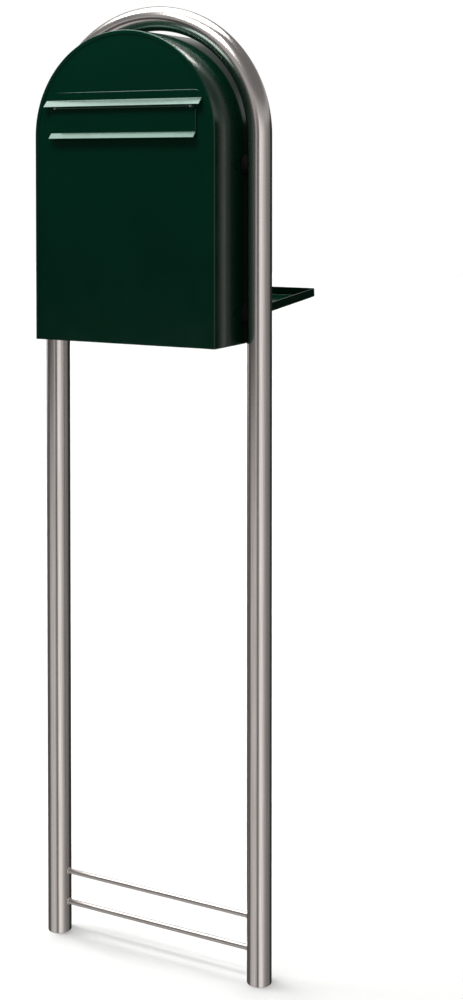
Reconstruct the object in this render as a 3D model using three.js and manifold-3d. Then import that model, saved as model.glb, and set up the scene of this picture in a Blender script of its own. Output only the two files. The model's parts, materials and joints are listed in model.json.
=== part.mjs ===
// An arched steel letterbox carried between the legs of a bent tube ground stand, in millimetres, +Z up.
// The origin is on the ground, midway between the two legs; the front faces -Y.
import * as THREE from "three";
import { mergeVertices } from "three/addons/utils/BufferGeometryUtils.js";
import Module from "manifold-3d";

// Box.
const boxWidth = 310;
const boxHeight = 462;
const boxDepth = 175;
const boxFrontAhead = 94; // front rim ahead of the plane of the stand
const sheet = 1.2;
const frontRim = 6;
const rearRim = 12;
const trayWall = 15;

// Stand.
const standHeight = 1455;
const tubeDiameter = 37;
const tubeWall = 1.5;
const sideGap = 5; // between a side of the box and a leg
const rodDiameter = 8;
const upperRodHeight = 96;
const lowerRodHeight = 47;
const rodInside = 5; // how far a rod reaches past the wall of a leg

// Fixings between box and stand.
const upperFixing = 43; // below the centre of the arch
const lowerFixing = 44; // above the bottom of the box
const spacerDiameter = 30;
const boltDiameter = 6;
const boltHead = 10;
const boltHeadHeight = 4;
const boltSocketDepth = 2.5;
const boltLength = 24;
const washerDiameter = 18;
const washerThickness = 1.5;
const insertWall = 1.6;
const insertLength = 12;
const insertProud = 1.5;

// Mail slot, hood and flap, levels below the top of the box.
const slotTopBelow = 119;
const slotHeight = 30;
const slotInFlap = 7; // end of the slot inside the end of the flap
const hoodTopBelow = 90;
const hoodFlange = 12;
const hoodCorner = 12;
const hoodRimGap = 5.3; // between the end of the hood and the front rim
const hoodReach = 10.8;
const hoodDrop = 9.6;
const flapInHood = 9; // end of the flap inside the end of the hood
const flapBottomBelow = 152;
const flapReach = 9.4;
const flapDrop = 8.2;
const flapStandOff = 2; // between front panel and flap
const flapPinDiameter = 2.6;
const flapPinProud = 1;
const flapAxisBelowBend = 11;
const flapRollWall = 0.8;
const earInset = 9; // from an end of the flap to its hinge bracket
const earGap = 1.5;
const earMargin = 0.5; // of a bracket past the roll, on the radius
const bufferDiameter = 4;
const bufferInset = 8; // from an end of the slot
const bufferUp = 1; // above the lip of the flap

// Rear door, heights from the bottom of the box.
const doorSideMargin = 30; // from the side of the box
const doorBottom = 4.5;
const doorTopBelow = 192; // below the top of the box
const doorDepth = 14;
const doorGap = 1.5;
const doorPivotHeight = 38;
const doorPivotIn = 9; // behind the outer face of the door
const doorPinDiameter = 4.6;
const doorOpenAngle = 85.5;
const bracketSheet = 1.5;
const bracketGap = 0.5; // between the doorway edge and a door bracket
const bracketFoot = 18;
const bracketMargin = 9; // round the stop stud and the pivot pin
const stopDiameter = 5;
const stopNeckMargin = 0.7; // of the stud past its neck, on the radius
const stopLength = 8;
const stopUp = 6; // from the lower edge of the door
const stopGap = 0.4;
const pinReach = 4; // of a pivot pin past the side wall of the door
const pinHeadMargin = 1.5; // of a head past its pin, on the radius
const pinHeadHeight = 2;

// Lock.
const lockBelowTop = 18;
const lockDiameter = 19;
const lockFlange = 23;
const lockFlangeThickness = 3;
const lockLength = 21;
const plugDiameter = 13;
const nutSize = 26;
const nutThickness = 4;
const camLength = 33;
const camWidth = 14;
const camThickness = 2;
const plugTailDiameter = 6.8;
const plugSunk = 0.4;
const keywayWidth = 1.6;
const keywayHeight = 9;
const keywayDepth = 4;
const camScrewDiameter = 3;
const camScrewHead = 9;
const camScrewHeadHeight = 2;
const camScrewLength = 9;
const camOverFold = 2; // how far the cam stands behind the fold that it catches

// Clearances.
const gap = 0.3; // between pieces that touch
const holePlay = 0.4; // round a pin or a bolt, on the radius
const past = 1; // how far a cut runs past what it cuts

// Worked out from the above.
const tubeRadius = tubeDiameter / 2;
const legOffset = boxWidth / 2 + sideGap + tubeRadius;
const archHeight = standHeight - tubeRadius - legOffset;
const boxBottom = archHeight + boxWidth / 2 - boxHeight;
const frontY = -boxFrontAhead;
const rearY = frontY + boxDepth;
const frontPanelFace = frontY + sheet + gap;
const rearPanelFace = rearY - sheet - gap;
const rearPanelInner = rearPanelFace - sheet;
const boxTop = boxBottom + boxHeight;
const doorWidth = boxWidth - 2 * doorSideMargin;
const doorTop = boxHeight - doorTopBelow;
const hoodTop = boxTop - hoodTopBelow;
const hoodEndRise = hoodTop - hoodCorner - archHeight;
const hoodHalf = Math.sqrt((boxWidth / 2 - frontRim) ** 2 - hoodEndRise ** 2) - hoodRimGap;
const flapHalf = hoodHalf - flapInHood;
const slotHalf = flapHalf - slotInFlap;

// Sides of the rounds.
const roundSides = 24;
const fineSides = 36;
const smallSides = 16;
const legSides = 48;

const wasm = await Module();
wasm.setup();

const greenPaint = new THREE.MeshStandardMaterial({ color: 0x06251a, roughness: 0.22, metalness: 0.0 });
const stainless = new THREE.MeshStandardMaterial({ color: 0xa79f97, roughness: 0.34, metalness: 1.0 });
const blackPlastic = new THREE.MeshStandardMaterial({ color: 0x101112, roughness: 0.55, metalness: 0.0 });
const rubber = new THREE.MeshStandardMaterial({ color: 0x17181a, roughness: 0.85, metalness: 0.0 });
const zinc = new THREE.MeshStandardMaterial({ color: 0xb9bcc0, roughness: 0.36, metalness: 1.0 });
const chrome = new THREE.MeshStandardMaterial({ color: 0xd4d6d8, roughness: 0.14, metalness: 1.0 });

// A closed geometry as a solid that can be joined and cut.
function solid(geometry) {
  const bare = geometry.clone();
  bare.deleteAttribute("normal");
  bare.deleteAttribute("uv");
  const merged = mergeVertices(bare, 1e-4);
  return new wasm.Manifold(
    new wasm.Mesh({
      numProp: 3,
      vertProperties: new Float32Array(merged.attributes.position.array),
      triVerts: new Uint32Array(merged.index.array),
    }),
  );
}

function geometryOf(made) {
  const { numProp, vertProperties, triVerts } = made.getMesh();
  const points = new Float32Array((vertProperties.length / numProp) * 3);
  for (let i = 0; i < points.length / 3; i++) {
    points.set(vertProperties.subarray(i * numProp, i * numProp + 3), i * 3);
  }
  const geometry = new THREE.BufferGeometry();
  geometry.setAttribute("position", new THREE.BufferAttribute(points, 3));
  geometry.setIndex(new THREE.BufferAttribute(triVerts, 1));
  geometry.computeVertexNormals();
  return geometry;
}

function piece(name, shape, material) {
  const geometry = shape.isBufferGeometry ? shape : geometryOf(shape);
  const made = new THREE.Mesh(geometry, material);
  made.name = name;
  return made;
}

// A box given by its two opposite corners.
function block(x0, y0, z0, x1, y1, z1) {
  const made = new THREE.BoxGeometry(x1 - x0, y1 - y0, z1 - z0);
  return made.translate((x0 + x1) / 2, (y0 + y1) / 2, (z0 + z1) / 2);
}

// An outline drawn in X and Z, made thick from y0 to y1.
function slab(outline, y0, y1) {
  const made = new THREE.ExtrudeGeometry(outline, { depth: y1 - y0, bevelEnabled: false, curveSegments: 20 });
  return made.rotateX(Math.PI / 2).translate(0, y1, 0);
}

// An outline drawn in Y and Z, made long from x0 to x1.
function bar(outline, x0, x1) {
  const made = new THREE.ExtrudeGeometry(outline, { depth: x1 - x0, bevelEnabled: false, curveSegments: 12 });
  const turn = new THREE.Matrix4().makeBasis(
    new THREE.Vector3(0, 1, 0),
    new THREE.Vector3(0, 0, 1),
    new THREE.Vector3(1, 0, 0),
  );
  return made.applyMatrix4(turn).translate(x0, 0, 0);
}

// A round rod along X from x0 to x1.
function rodX(radius, x0, x1, y, z, sides = roundSides) {
  const made = new THREE.CylinderGeometry(radius, radius, x1 - x0, sides);
  return made.rotateZ(Math.PI / 2).translate((x0 + x1) / 2, y, z);
}

// A round rod along Y from y0 to y1.
function rodY(radius, y0, y1, x, z, sides = roundSides) {
  const made = new THREE.CylinderGeometry(radius, radius, y1 - y0, sides);
  return made.translate(x, (y0 + y1) / 2, z);
}

function polygon(points) {
  return new THREE.Shape(points.map(([a, b]) => new THREE.Vector2(a, b)));
}

// The arched outline of the box, drawn in by `inset` all round but for the straight bottom edge.
function archOutline(inset, bottom) {
  const radius = boxWidth / 2 - inset;
  const outline = new THREE.Shape();
  outline.moveTo(-radius, bottom);
  outline.lineTo(radius, bottom);
  outline.lineTo(radius, archHeight);
  outline.absarc(0, archHeight, radius, 0, Math.PI, false);
  outline.lineTo(-radius, bottom);
  return outline;
}

const group = new THREE.Group();
const fixings = [
  { level: "upper", z: archHeight - upperFixing },
  { level: "lower", z: boxBottom + lowerFixing },
];
const sides = [
  { side: "left", sign: -1 },
  { side: "right", sign: 1 },
];

// A rod along X between two distances from the middle plane, on the side that sign gives.
function sideRod(radius, near, far, sign, y, z, segments = roundSides) {
  return rodX(radius, Math.min(near * sign, far * sign), Math.max(near * sign, far * sign), y, z, segments);
}

function sideBlock(near, far, sign, y0, y1, z0, z1) {
  return block(Math.min(near * sign, far * sign), y0, z0, Math.max(near * sign, far * sign), y1, z1);
}

// Stand: the path runs up the left leg, round the half circle and down the right leg.
class StandPath extends THREE.Curve {
  constructor(bends) {
    super();
    this.bends = bends;
  }
  getPoint(t) {
    const step = t * (this.bends + 2);
    if (step < 1) return new THREE.Vector3(-legOffset, 0, archHeight * step);
    if (step > this.bends + 1) return new THREE.Vector3(legOffset, 0, archHeight * (this.bends + 2 - step));
    const angle = Math.PI * (1 - (step - 1) / this.bends);
    return new THREE.Vector3(legOffset * Math.cos(angle), 0, archHeight + legOffset * Math.sin(angle));
  }
  getPointAt(t) {
    return this.getPoint(t);
  }
  getTangentAt(t) {
    const step = t * (this.bends + 2);
    const angle = Math.PI * (1 - Math.min(Math.max((step - 1) / this.bends, 0), 1));
    return new THREE.Vector3(Math.sin(angle), 0, -Math.cos(angle));
  }
}

const archBends = 44;
const tubeSection = new THREE.Shape().absarc(0, 0, tubeRadius, 0, 2 * Math.PI, false);
tubeSection.holes.push(new THREE.Path().absarc(0, 0, tubeRadius - tubeWall, 0, 2 * Math.PI, true));
let tube = solid(
  new THREE.ExtrudeGeometry(tubeSection, {
    steps: archBends + 2,
    extrudePath: new StandPath(archBends),
    curveSegments: 14,
    bevelEnabled: false,
  }),
);
const insertRadius = boltDiameter / 2 + holePlay + insertWall;
const rodHeights = { upper: upperRodHeight, lower: lowerRodHeight };
const legInner = legOffset - tubeRadius;
for (const { sign } of sides) {
  for (const { z } of fixings) {
    tube = tube.subtract(solid(sideRod(insertRadius + gap, legInner - past, legOffset, sign, 0, z)));
  }
  for (const z of Object.values(rodHeights)) {
    tube = tube.subtract(solid(sideRod(rodDiameter / 2 + gap, legInner - past, legOffset, sign, 0, z)));
  }
}
group.add(piece("stand_tube", tube, stainless));

const rodEnd = legInner + tubeWall + rodInside;
for (const [level, z] of Object.entries(rodHeights)) {
  group.add(piece("anchor_rod_" + level, rodX(rodDiameter / 2, -rodEnd, rodEnd, 0, z), stainless));
}

// Fixings: washer and bolt head inside the box, then side wall, spacer, and the sleeve in the leg.
const wallInner = boxWidth / 2 - sheet;
const boltHole = boltDiameter / 2 + holePlay;
for (const { side, sign } of sides) {
  for (const { level, z } of fixings) {
    const name = level + "_" + side;
    const insert = solid(sideRod(insertRadius, legInner - insertProud, legInner + insertLength, sign, 0, z));
    const bore = solid(sideRod(boltHole, 0, legOffset + tubeRadius, sign, 0, z));
    group.add(piece("insert_" + name, insert.subtract(bore), zinc));

    const leg = new THREE.CylinderGeometry(tubeRadius + gap, tubeRadius + gap, spacerDiameter * 2, legSides);
    leg.rotateX(Math.PI / 2).translate(legOffset * sign, 0, z);
    const spacer = solid(sideRod(spacerDiameter / 2, boxWidth / 2 + gap, legOffset, sign, 0, z, fineSides))
      .subtract(solid(leg))
      .subtract(bore)
      .subtract(solid(sideRod(insertRadius + gap, legInner - insertProud - gap, legOffset, sign, 0, z)));
    group.add(piece("spacer_" + name, spacer, blackPlastic));

    const washerFace = wallInner - gap;
    const washer = solid(sideRod(washerDiameter / 2, washerFace - washerThickness, washerFace, sign, 0, z));
    group.add(piece("washer_" + name, washer.subtract(bore), zinc));

    const headFace = washerFace - washerThickness - gap;
    const headTop = headFace - boltHeadHeight;
    const socket = solid(sideRod(boltDiameter / 3, headTop - past, headTop + boltSocketDepth, sign, 0, z, 6));
    const bolt = solid(sideRod(boltHead / 2, headTop, headFace, sign, 0, z))
      .add(solid(sideRod(boltDiameter / 2, headFace - past, headFace + boltLength, sign, 0, z)))
      .subtract(socket);
    group.add(piece("bolt_" + name, bolt, zinc));
  }
}

// Body shell: one folded sheet over both sides and the arch, turned in as a rim at each end.
let shell = solid(slab(archOutline(0, boxBottom), frontY, rearY))
  .subtract(solid(slab(archOutline(sheet, boxBottom - past), frontY + sheet, rearY - sheet)))
  .subtract(solid(slab(archOutline(frontRim, boxBottom - past), frontY - past, frontY + sheet + past)))
  .subtract(solid(slab(archOutline(rearRim, boxBottom - past), rearY - sheet - past, rearY + past)));
for (const { sign } of sides) {
  for (const { z } of fixings) {
    shell = shell.subtract(solid(sideRod(boltHole, wallInner - past, boxWidth / 2 + past, sign, 0, z)));
  }
}
group.add(piece("body_shell", shell, greenPaint));

// Front panel, behind the front rim, with the mail slot.
const panelInset = sheet + gap;
const slotTop = boxTop - slotTopBelow;
const slot = block(
  -slotHalf,
  frontPanelFace - past,
  slotTop - slotHeight,
  slotHalf,
  frontPanelFace + sheet + past,
  slotTop,
);
const frontPanel = solid(slab(archOutline(panelInset, boxBottom), frontPanelFace, frontPanelFace + sheet));
group.add(piece("front_panel", frontPanel.subtract(solid(slot)), greenPaint));

// Rear panel, behind the rear rim, with the doorway and a fold over its top edge for the lock cam to catch.
const doorwayHalf = doorWidth / 2 + doorGap;
const doorwayTop = boxBottom + doorTop + doorGap;
const lockFront = doorPivotIn + gap + lockFlangeThickness;
const doorPivotY = rearY - doorPivotIn;
const camFront = doorPivotY + lockFront - lockFlangeThickness - lockLength - gap;
const foldEdge = camFront + camOverFold;
const doorway = block(
  -doorwayHalf,
  rearPanelInner - past,
  boxBottom + doorBottom - doorGap,
  doorwayHalf,
  rearPanelFace + past,
  doorwayTop,
);
const header = block(-doorwayHalf, foldEdge, doorwayTop, doorwayHalf, rearPanelFace, doorwayTop + sheet);
const rearPanel = solid(slab(archOutline(panelInset, boxBottom), rearPanelInner, rearPanelFace))
  .subtract(solid(doorway))
  .add(solid(header));
group.add(piece("rear_panel", rearPanel, greenPaint));

// Bottom plate: a tray whose front and sides are turned up.
const trayFront = frontPanelFace + sheet + gap;
const trayRear = rearPanelInner - gap;
const trayHalf = boxWidth / 2 - sheet - gap;
const trayRise = boxBottom + trayWall;
const trayInside = block(
  -trayHalf + sheet,
  trayFront + sheet,
  boxBottom + sheet,
  trayHalf - sheet,
  trayRear + past,
  trayRise + past,
);
const tray = solid(block(-trayHalf, trayFront, boxBottom, trayHalf, trayRear, trayRise));
group.add(piece("bottom_plate", tray.subtract(solid(trayInside)), greenPaint));

// Rain hood: a flat flange with cut corners, whose lower edge slopes out over the flap.
const hoodBack = frontPanelFace - gap;
const hoodEdge = hoodTop - hoodFlange;
const hoodLow = hoodEdge - hoodDrop - sheet;
const hoodProfile = polygon([
  [hoodBack, hoodTop],
  [hoodBack - sheet, hoodTop],
  [hoodBack - sheet, hoodEdge],
  [hoodBack - hoodReach, hoodLow + sheet],
  [hoodBack - hoodReach, hoodLow],
  [hoodBack, hoodEdge - sheet],
]);
const hoodOutline = polygon([
  [-hoodHalf, hoodLow - past],
  [hoodHalf, hoodLow - past],
  [hoodHalf, hoodTop - hoodCorner],
  [hoodHalf - hoodCorner, hoodTop],
  [-hoodHalf + hoodCorner, hoodTop],
  [-hoodHalf, hoodTop - hoodCorner],
]);
const hood = solid(bar(hoodProfile, -hoodHalf - past, hoodHalf + past)).intersect(
  solid(slab(hoodOutline, hoodBack - hoodReach - past, hoodBack + past)),
);
group.add(piece("rain_hood", hood, greenPaint));

// Mail flap: hangs on a pin under the hood, its top edge rolled round the pin, its lower edge a finger lip.
const flapBackFace = frontPanelFace - flapStandOff;
const flapPinRadius = flapPinDiameter / 2;
const flapRoll = flapPinRadius + holePlay + flapRollWall;
const flapAxisY = flapBackFace - sheet / 2 - flapRollWall;
const flapAxisZ = hoodEdge - flapAxisBelowBend;
const earRadius = flapRoll + earMargin;
const flapShoulder = flapAxisZ - earRadius - earGap;
const flapLip = boxTop - flapBottomBelow;
const flapProfile = polygon([
  [flapBackFace, flapShoulder],
  [flapBackFace - sheet, flapShoulder],
  [flapBackFace - sheet, flapLip + sheet],
  [flapBackFace - flapReach, flapLip - flapDrop + sheet],
  [flapBackFace - flapReach, flapLip - flapDrop],
  [flapBackFace, flapLip],
]);
const rollHalf = flapHalf - earInset - earGap;
const rollNeck = block(-rollHalf, flapBackFace - sheet, flapShoulder - past, rollHalf, flapBackFace, flapAxisZ);
const flapBore = solid(rodX(flapPinRadius + holePlay, -hoodHalf, hoodHalf, flapAxisY, flapAxisZ));
const flap = solid(bar(flapProfile, -flapHalf, flapHalf))
  .add(solid(rollNeck))
  .add(solid(rodX(flapRoll, -rollHalf, rollHalf, flapAxisY, flapAxisZ)))
  .subtract(flapBore);
group.add(piece("mail_flap", flap, greenPaint));

const earNear = flapHalf - earInset;
const earFar = earNear + bracketSheet;
const earRear = frontPanelFace - gap;
const pinEnd = earFar + flapPinProud;
group.add(piece("flap_pin", rodX(flapPinRadius, -pinEnd, pinEnd, flapAxisY, flapAxisZ), zinc));
for (const { side, sign } of sides) {
  const earRound = sideRod(earRadius, earNear, earFar, sign, flapAxisY, flapAxisZ);
  const earFoot = sideBlock(
    earNear,
    earFar,
    sign,
    flapAxisY,
    earRear,
    flapAxisZ - earRadius,
    flapAxisZ + earRadius,
  );
  const ear = solid(earRound).add(solid(earFoot)).subtract(flapBore);
  group.add(piece("flap_bracket_" + side, ear, zinc));
  const bufferX = (slotHalf - bufferInset) * sign;
  const bufferZ = flapLip + bufferUp;
  const buffer = rodY(bufferDiameter / 2, flapBackFace + gap, frontPanelFace - gap, bufferX, bufferZ, smallSides);
  group.add(piece("flap_buffer_" + side, buffer, rubber));
}

// Rear door, drawn closed about its pivot line and then turned open.
const doorGroup = new THREE.Group();
doorGroup.position.set(0, doorPivotY, boxBottom + doorPivotHeight);
doorGroup.rotation.x = THREE.MathUtils.degToRad(-doorOpenAngle);
const panLow = doorBottom - doorPivotHeight;
const panHigh = doorTop - doorPivotHeight;
const panInner = doorPivotIn - doorDepth;
const lockZ = panHigh - lockBelowTop;
const doorPinRadius = doorPinDiameter / 2;
const doorBore = solid(rodX(doorPinRadius + holePlay, -doorWidth, doorWidth, 0, 0));
const panInside = block(
  -doorWidth / 2 + sheet,
  panInner - past,
  panLow + sheet,
  doorWidth / 2 - sheet,
  doorPivotIn - sheet,
  panHigh - sheet,
);
const doorBack = doorPivotIn - sheet;
const lockHole = rodY(lockDiameter / 2 + gap, doorBack - past, doorPivotIn + past, 0, lockZ, fineSides);
const pan = solid(block(-doorWidth / 2, panInner, panLow, doorWidth / 2, doorPivotIn, panHigh))
  .subtract(solid(panInside))
  .subtract(doorBore)
  .subtract(solid(lockHole));
doorGroup.add(piece("rear_door", pan, greenPaint));

// Lock: a flanged barrel through the door, clamped by a nut, with a turning plug that carries the cam.
const plugRadius = plugDiameter / 2;
const barrelBack = lockFront - lockFlangeThickness - lockLength;
const flangeBack = lockFront - lockFlangeThickness;
const plugHole = rodY(plugRadius + gap, barrelBack - past, lockFront + past, 0, lockZ, fineSides);
const barrel = solid(rodY(lockDiameter / 2, barrelBack, flangeBack + past, 0, lockZ, fineSides))
  .add(solid(rodY(lockFlange / 2, flangeBack, lockFront, 0, lockZ, fineSides)))
  .subtract(solid(plugHole));
doorGroup.add(piece("lock_body", barrel, chrome));

const nutFront = doorBack - gap;
const nutBack = nutFront - nutThickness;
const nutHole = rodY(lockDiameter / 2 + gap, nutBack - past, nutFront + past, 0, lockZ, fineSides);
const nut = solid(rodY(nutSize / 2, nutBack, nutFront, 0, lockZ, 6)).subtract(solid(nutHole));
doorGroup.add(piece("lock_nut", nut, zinc));

const camFace = barrelBack - gap;
const camBack = camFace - camThickness;
const plugTail = plugTailDiameter / 2;
const keyway = block(
  -keywayWidth / 2,
  lockFront - keywayDepth,
  lockZ - keywayHeight / 2,
  keywayWidth / 2,
  lockFront + past,
  lockZ + keywayHeight / 2,
);
const screwBack = camBack - gap;
const screwTip = screwBack + camScrewLength;
const screwHole = rodY(camScrewDiameter / 2 + gap, camBack - past, screwTip + past, 0, lockZ, smallSides);
const plug = solid(rodY(plugRadius, camFace + gap, lockFront - plugSunk, 0, lockZ, fineSides))
  .add(solid(rodY(plugTail, camBack, camFace + past, 0, lockZ, smallSides)))
  .subtract(solid(keyway))
  .subtract(solid(screwHole));
doorGroup.add(piece("lock_plug", plug, chrome));

const camTip = camLength - camWidth / 2;
const cam = solid(rodY(camWidth / 2, camBack, camFace, 0, lockZ))
  .add(solid(rodY(camWidth / 2, camBack, camFace, camTip, lockZ)))
  .add(solid(block(0, camBack, lockZ - camWidth / 2, camTip, camFace, lockZ + camWidth / 2)))
  .subtract(solid(rodY(plugTail + gap, camBack - past, camFace + past, 0, lockZ, smallSides)));
doorGroup.add(piece("lock_cam", cam, zinc));

const screwHead = rodY(camScrewHead / 2, screwBack - camScrewHeadHeight, screwBack, 0, lockZ);
const screwShank = rodY(camScrewDiameter / 2, screwBack - past, screwTip, 0, lockZ, smallSides);
doorGroup.add(piece("cam_screw", solid(screwHead).add(solid(screwShank)), zinc));
group.add(doorGroup);

// Door brackets behind the side strips of the rear panel, each with a pivot pin and a stop stud.
const bracketNear = doorWidth / 2 + doorGap + bracketGap;
const bracketFar = bracketNear + bracketSheet;
const bracketRear = rearPanelInner - gap;
const pivotZ = boxBottom + doorPivotHeight;
const openTurn = THREE.MathUtils.degToRad(-doorOpenAngle);
const stopAlong = panLow + stopUp;
const stopIn = panInner - stopGap - stopDiameter / 2;
const stopY = doorPivotY + stopIn * Math.cos(openTurn) - stopAlong * Math.sin(openTurn);
const stopZ = pivotZ + stopIn * Math.sin(openTurn) + stopAlong * Math.cos(openTurn);
const bracketFront = stopY - bracketMargin;
const bracketLow = Math.min(pivotZ, stopZ) - bracketMargin;
const bracketHigh = Math.max(pivotZ, stopZ) + bracketMargin;
for (const { side, sign } of sides) {
  const cheek = sideBlock(bracketNear, bracketFar, sign, bracketFront, bracketRear, bracketLow, bracketHigh);
  const foot = sideBlock(
    bracketNear,
    bracketNear + bracketFoot,
    sign,
    bracketRear - bracketSheet,
    bracketRear,
    bracketLow,
    bracketHigh,
  );
  const holeNear = bracketNear - past;
  const holeFar = bracketFar + past;
  const stopNeck = stopDiameter / 2 - stopNeckMargin;
  const bracket = solid(cheek)
    .add(solid(foot))
    .subtract(solid(sideRod(doorPinRadius + gap, holeNear, holeFar, sign, doorPivotY, pivotZ)))
    .subtract(solid(sideRod(stopNeck, holeNear, holeFar, sign, stopY, stopZ)));
  group.add(piece("door_bracket_" + side, bracket, zinc));

  const pinInner = doorWidth / 2 - sheet - pinReach;
  const pinHead = bracketFar + gap;
  const pinHeadRadius = doorPinRadius + pinHeadMargin;
  const pin = sideRod(doorPinRadius, pinInner, pinHead + past, sign, doorPivotY, pivotZ);
  const head = sideRod(pinHeadRadius, pinHead, pinHead + pinHeadHeight, sign, doorPivotY, pivotZ);
  group.add(piece("door_pivot_" + side, solid(pin).add(solid(head)), zinc));

  const stopEnd = bracketNear - gap;
  const stud = sideRod(stopDiameter / 2, stopEnd - stopLength, stopEnd, sign, stopY, stopZ);
  const neck = sideRod(stopNeck - gap, stopEnd - past, bracketFar, sign, stopY, stopZ);
  group.add(piece("door_stop_" + side, solid(stud).add(solid(neck)), zinc));
}

export default group;
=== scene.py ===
"""An arched steel letterbox on a bent tube stand, finished piece by piece around its CAD frame."""
import bmesh
import bpy
import json
import math
from mathutils import Matrix, Vector


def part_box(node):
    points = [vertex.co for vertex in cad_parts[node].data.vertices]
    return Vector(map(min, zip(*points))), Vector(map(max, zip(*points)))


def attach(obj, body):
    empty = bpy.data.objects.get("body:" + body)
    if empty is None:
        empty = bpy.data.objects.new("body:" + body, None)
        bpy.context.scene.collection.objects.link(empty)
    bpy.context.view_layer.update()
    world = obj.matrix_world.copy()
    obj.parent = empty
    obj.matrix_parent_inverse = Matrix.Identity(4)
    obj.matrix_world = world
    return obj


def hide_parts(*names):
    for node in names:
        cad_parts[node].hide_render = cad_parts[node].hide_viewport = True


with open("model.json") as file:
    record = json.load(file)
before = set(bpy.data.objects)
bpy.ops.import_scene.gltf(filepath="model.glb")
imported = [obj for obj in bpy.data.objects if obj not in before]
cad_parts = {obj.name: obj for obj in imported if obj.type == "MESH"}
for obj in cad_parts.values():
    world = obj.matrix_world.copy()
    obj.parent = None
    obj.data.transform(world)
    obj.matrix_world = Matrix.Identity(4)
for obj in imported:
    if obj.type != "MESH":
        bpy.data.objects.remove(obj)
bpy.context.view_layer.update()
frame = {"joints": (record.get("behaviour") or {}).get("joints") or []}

mm = 0.001
joints = {joint["name"]: joint for joint in frame["joints"]}
RIGHT = Vector((1, 0, 0))
FRONT, BACK = Vector((0, -1, 0)), Vector((0, 1, 0))
DOWN, UP = Vector((0, 0, -1)), Vector((0, 0, 1))

# Camera: it stands to the right of the letterbox, a little under the mail flap, and looks at the
# front all but level. The lens is shifted down, so that the legs stay upright and the feet come
# into view.
camera_data = bpy.data.cameras.new("studio_camera")
camera_data.lens = 57.549
camera_data.sensor_width = 36.0
camera_data.shift_y = -0.285
camera = bpy.data.objects.new("studio_camera", camera_data)
camera.location = (1.2514, -2.0872, 1.2072)
camera.rotation_euler = (math.radians(88.392), 0, math.radians(28.213))
bpy.context.scene.collection.objects.link(camera)
bpy.context.scene.camera = camera

# Floor: a wide pale sheet of studio paper that the feet stand on. It is left out of mirror images
# and throws no light back, so the green and the tube see only the room.
bpy.ops.mesh.primitive_plane_add(size=30, location=(0, 0, 0))
floor = bpy.context.active_object
floor.name = "studio_floor"
floor.visible_glossy = False
floor.visible_diffuse = False
paper = bpy.data.materials.new("studio_paper")
paper.use_nodes = True
paper_shader = paper.node_tree.nodes["Principled BSDF"]
paper_shader.inputs["Base Color"].default_value = (0.8, 0.8, 0.8, 1)
paper_shader.inputs["Roughness"].default_value = 0.95
paper_shader.inputs["Specular IOR Level"].default_value = 0.1
floor.data.materials.append(paper)

# Light: a dim room. Upright pale and dark bands round its walls draw the long streaks on the tube.
# Over the room hangs a soft canopy, and in that a narrow lamp, high up on the left, which the two
# sloping lips mirror. The camera itself sees plain white.
world = bpy.data.worlds.new("studio")
world.use_nodes = True
bpy.context.scene.world = world
air = world.node_tree
air.nodes.clear()
bpy.context.scene.view_settings.view_transform = "Standard"


def math_step(operation, *signals):
    """One step of arithmetic on the signals."""
    step = air.nodes.new("ShaderNodeMath")
    step.operation = operation
    for signal, socket in zip(signals, step.inputs):
        air.links.new(signal, socket)
    return step.outputs[0]


def share_of(signal, start, end, interpolation="LINEAR"):
    """The share, from 0 to 1, of the way that a signal has come from start to end."""
    spread = air.nodes.new("ShaderNodeMapRange")
    spread.interpolation_type = interpolation
    spread.inputs["From Min"].default_value = start
    spread.inputs["From Max"].default_value = end
    air.links.new(signal, spread.inputs["Value"])
    return spread.outputs["Result"]


def banded(share, bands):
    """Light that follows (place, brightness) bands, with the places spread over the share."""
    ramp = air.nodes.new("ShaderNodeValToRGB")
    stops = ramp.color_ramp.elements
    stops.remove(stops[-1])
    start, end = bands[0][0], bands[-1][0]
    for place, value in bands:
        position = (place - start) / (end - start)
        stop = stops[0] if place == start else stops.new(position)
        stop.position = position
        stop.color = (value, value * 0.98, value * 0.965, 1)
    air.links.new(share, ramp.inputs["Fac"])
    return ramp.outputs["Color"]


def crossfade(share, first, second):
    """Light that changes from the first to the second, a signal or a plain colour, by the share."""
    mix = air.nodes.new("ShaderNodeMix")
    mix.data_type = "RGBA"
    air.links.new(share, mix.inputs["Factor"])
    air.links.new(first, mix.inputs["A"])
    if isinstance(second, tuple):
        mix.inputs["B"].default_value = (*second, 1)
    else:
        air.links.new(second, mix.inputs["B"])
    return mix.outputs["Result"]


def round_light(behind, aim, color, outer, inner):
    """A round light round the aim, its soft edge between two cosines, over what lies behind it."""
    toward = air.nodes.new("ShaderNodeVectorMath")
    toward.operation = "DOT_PRODUCT"
    toward.inputs[1].default_value = Vector(aim).normalized()
    air.links.new(direction, toward.inputs[0])
    return crossfade(share_of(toward.outputs["Value"], outer, inner, "SMOOTHSTEP"), behind, color)


direction = air.nodes.new("ShaderNodeTexCoord").outputs["Generated"]
axes = air.nodes.new("ShaderNodeSeparateXYZ")
air.links.new(direction, axes.inputs[0])
height = axes.outputs["Z"]
bearing = math_step("DEGREES", math_step("ARCTAN2", axes.outputs["Y"], axes.outputs["X"]))
turn_share = share_of(bearing, -180, 180)

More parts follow.
